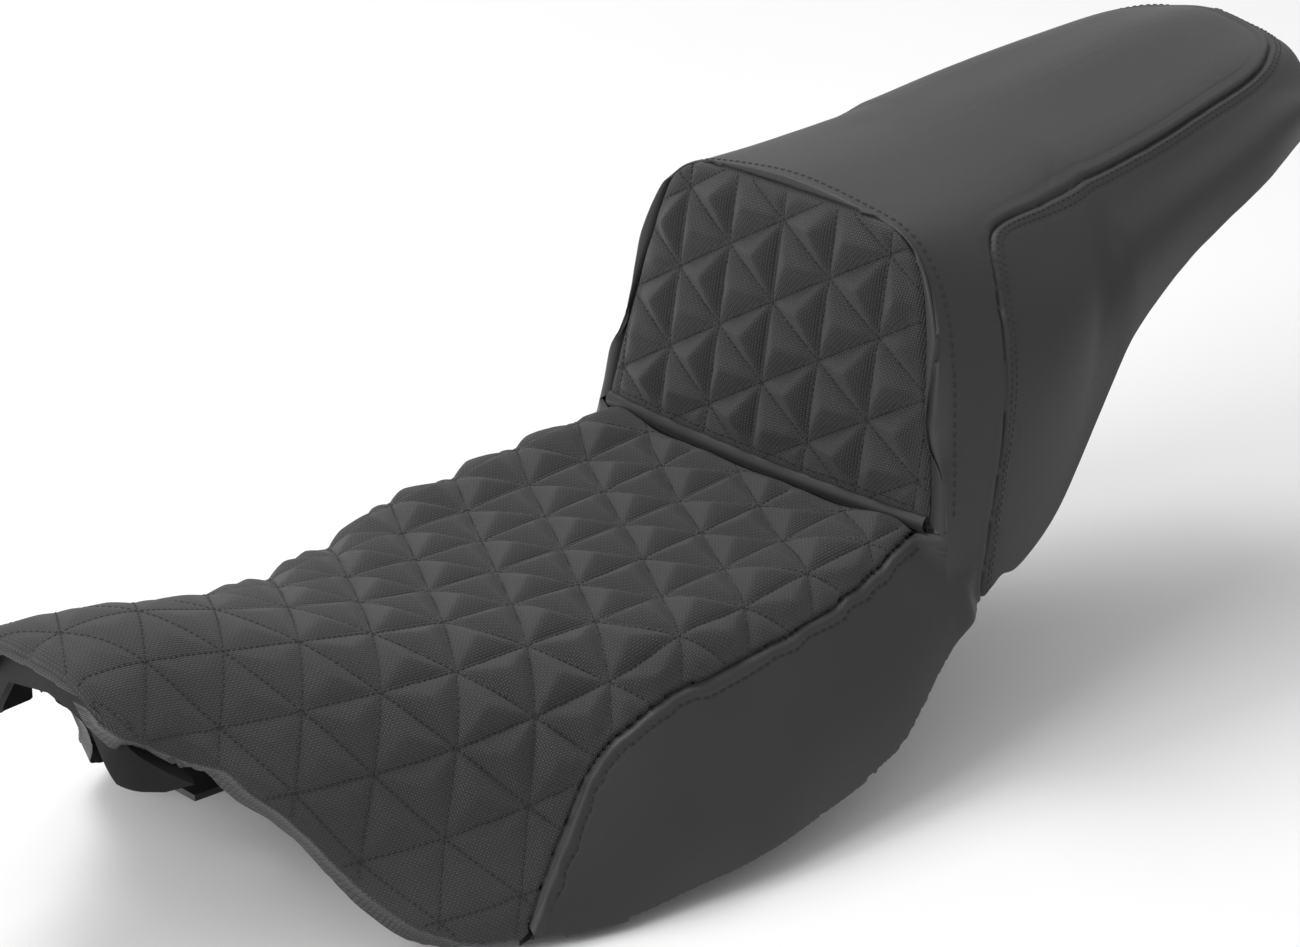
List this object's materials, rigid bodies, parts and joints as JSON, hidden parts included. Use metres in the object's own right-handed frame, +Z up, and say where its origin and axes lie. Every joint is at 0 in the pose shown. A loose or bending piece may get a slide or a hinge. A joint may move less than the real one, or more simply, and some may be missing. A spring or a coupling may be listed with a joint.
{
  "type": "motorcycle seat",
  "caption": "Two-up step seat: low dished rider seat with triangle-quilted panels, raised passenger pad behind a quilted backrest, moulded pan with front tongue and rear screw tab.",
  "frame": {"origin": "centre of the screw hole in the rear mounting tab", "axes": "+Y back towards the tail, along the seat; -Y the nose; +Z up; +X the rider's left-hand side, on the right when the seat is looked at from in front of its nose"},
  "size_m": [0.3274, 0.789, 0.2787],
  "materials": {
    "quilted_vinyl": "coarse woven-look vinyl, semi-matt",
    "smooth_vinyl": "fine-grained vinyl, soft sheen",
    "liner_foam": "open-cell scrim foam",
    "seat_foam": "moulded urethane foam, matt",
    "gel": "soft gel, satin",
    "pan_plastic": "textured moulded black",
    "felt": "needle-punched carpet",
    "bumper_rubber": "matt",
    "bracket_steel": "black powder coat",
    "fastener_steel": "zinc plated"
  },
  "bodies": {
    "root": {"seat_quilt_cover": "quilted_vinyl", "backrest_quilt_cover": "quilted_vinyl", "main_cover": "smooth_vinyl", "side_panel_left": "smooth_vinyl", "side_panel_right": "smooth_vinyl", "tuck_margin_left": "smooth_vinyl", "tuck_margin_right": "smooth_vinyl", "tuck_margin_nose": "smooth_vinyl", "seat_quilt_foam": "liner_foam", "backrest_quilt_foam": "liner_foam", "main_liner": "liner_foam", "rider_foam": "seat_foam", "passenger_foam": "seat_foam", "rider_gel_pad": "gel", "passenger_gel_pad": "gel", "baseplate": "pan_plastic", "carpet_front": "felt", "carpet_rear": "felt", "bumpers": "bumper_rubber", "front_tongue": "bracket_steel", "rear_tab": "bracket_steel", "staples": "fastener_steel", "tongue_rivets": "fastener_steel", "tab_rivets": "fastener_steel", "rivet_washers": "fastener_steel"}
  },
  "joints": []
}
